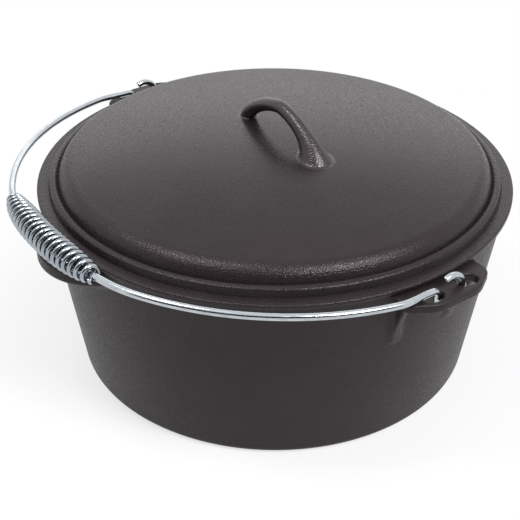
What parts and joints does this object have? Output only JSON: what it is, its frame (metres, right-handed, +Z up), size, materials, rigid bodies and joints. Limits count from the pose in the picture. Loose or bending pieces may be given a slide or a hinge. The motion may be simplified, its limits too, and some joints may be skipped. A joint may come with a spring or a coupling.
{
  "type": "cast iron cauldron",
  "caption": "Cast iron cooking pot with pierced side ears, a domed lift-off lid with a loop handle, and a swinging wire bail whose coil grip rests on a lip at the rim.",
  "frame": {"origin": "centre of the flat base, on the surface that the pot stands on", "axes": "+Z up along the pot's axis; X runs through both ears and along the lid's handle; the lowered bail and its grip lie on the -Y side"},
  "size_m": [0.357, 0.3403, 0.1812],
  "materials": {
    "pot_iron": "matte seasoned casting with a fine pebbled grain",
    "lid_iron": "matte seasoned casting with a fine pebbled grain",
    "bail_wire": "bright plated wire",
    "grip_wire": "bright plated spring wire"
  },
  "bodies": {
    "pot": {"pot": "pot_iron"},
    "lid": {"lid": "lid_iron"},
    "bail": {"bail": "bail_wire", "coil_grip": "grip_wire"}
  },
  "joints": [
    {"name": "bail_swing", "type": "hinge", "parent": "pot", "child": "bail", "pos_m": [0, 0, 0.1246], "axis": [-1, 0, 0], "range_deg": [0, 150]},
    {"name": "lid_lift", "type": "slide", "parent": "pot", "child": "lid", "axis": [0, 0, 1], "range_m": [0, 0.045]}
  ]
}
